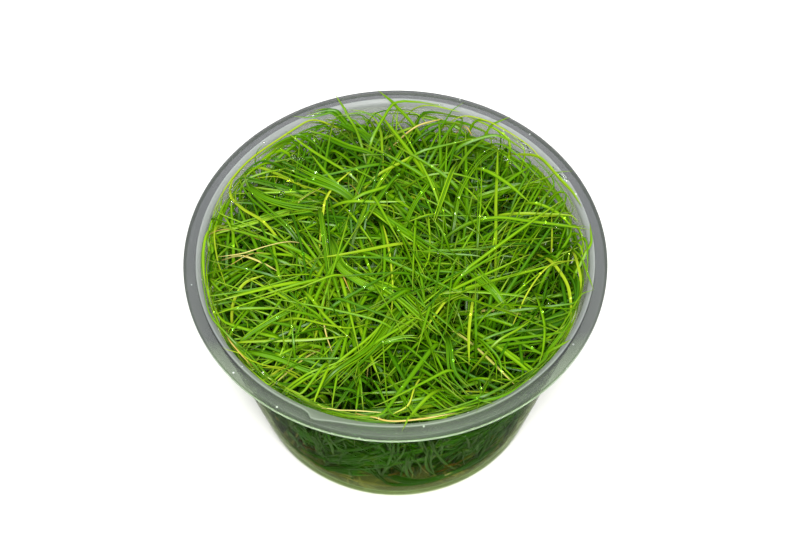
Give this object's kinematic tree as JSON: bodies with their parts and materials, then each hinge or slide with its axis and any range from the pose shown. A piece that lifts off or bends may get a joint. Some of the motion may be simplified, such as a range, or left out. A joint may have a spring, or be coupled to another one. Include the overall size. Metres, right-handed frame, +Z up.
{
  "type": "potted dwarf hairgrass in a culture cup",
  "caption": "Dense clump of dwarf hairgrass, an aquarium carpet plant, growing on nutrient jelly in an open translucent flanged culture cup.",
  "frame": {"origin": "middle of the cup's foot, on the surface that the cup stands on", "axes": "+Z up through the cup's mouth, -Y towards the side that the picture shows in front, +X to the right there"},
  "size_m": [0.101, 0.101, 0.0619],
  "materials": {
    "translucent_plastic": "translucent natural polypropylene, thin walled, softly glossy, greyish, lightly scuffed",
    "nutrient_jelly": "clear wet nutrient jelly, olive tinted by roots and old leaf bases",
    "grass": "fresh glossy bright green grass blades, darker in the depth, with a few yellow and straw ones"
  },
  "bodies": {
    "root": {"cup": "translucent_plastic", "culture_gel": "nutrient_jelly", "tuft_01": "grass", "tuft_02": "grass", "tuft_03": "grass", "tuft_04": "grass", "tuft_05": "grass", "tuft_06": "grass", "tuft_07": "grass", "tuft_08": "grass", "tuft_09": "grass", "tuft_10": "grass", "tuft_11": "grass", "tuft_12": "grass", "tuft_13": "grass", "tuft_14": "grass", "tuft_15": "grass", "tuft_16": "grass", "tuft_17": "grass", "tuft_18": "grass", "tuft_19": "grass"}
  },
  "joints": []
}
